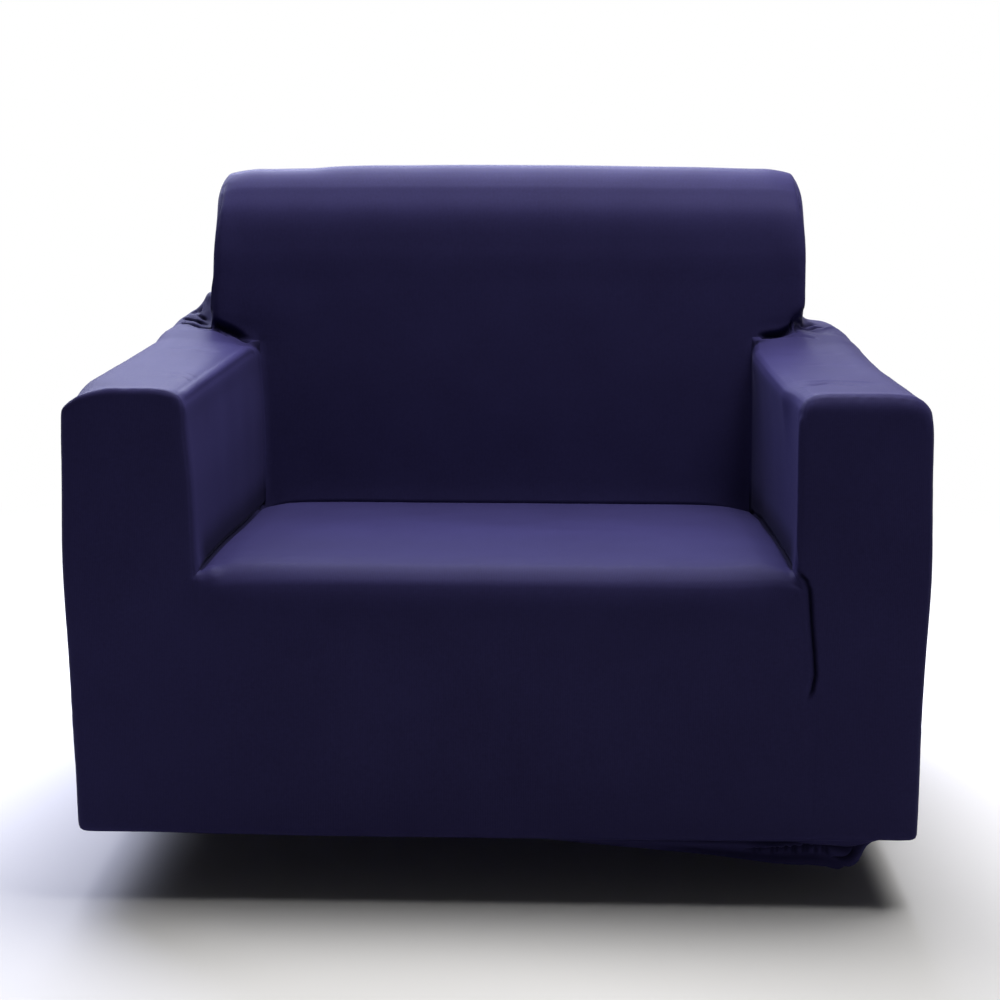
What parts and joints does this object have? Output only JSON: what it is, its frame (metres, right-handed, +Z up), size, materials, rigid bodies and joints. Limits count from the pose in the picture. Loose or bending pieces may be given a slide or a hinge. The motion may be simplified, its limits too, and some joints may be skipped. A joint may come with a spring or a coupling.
{
  "type": "armchair slipcover",
  "caption": "Fitted stretch slipcover for a boxy one-seat armchair with a rolled back, hollow, with a hem turned under all round.",
  "frame": {"origin": "middle of the cover under the top of the back, where the back of the chair holds it up", "axes": "+X to the sitter's left (the viewer's right, facing the front), +Y to the rear, +Z up; the arm fronts face -Y"},
  "size_m": [0.977, 0.809, 0.7927],
  "materials": {
    "stretch_knit": "fine stretch knit, matt face on with a soft pale sheen at grazing angles"
  },
  "bodies": {
    "root": {"seat_panel": "stretch_knit", "inside_back_panel": "stretch_knit", "outside_back_panel": "stretch_knit", "arm_panel_left": "stretch_knit", "arm_panel_right": "stretch_knit", "arm_front_left": "stretch_knit", "arm_front_right": "stretch_knit", "side_panel_left": "stretch_knit", "side_panel_right": "stretch_knit"}
  },
  "joints": []
}
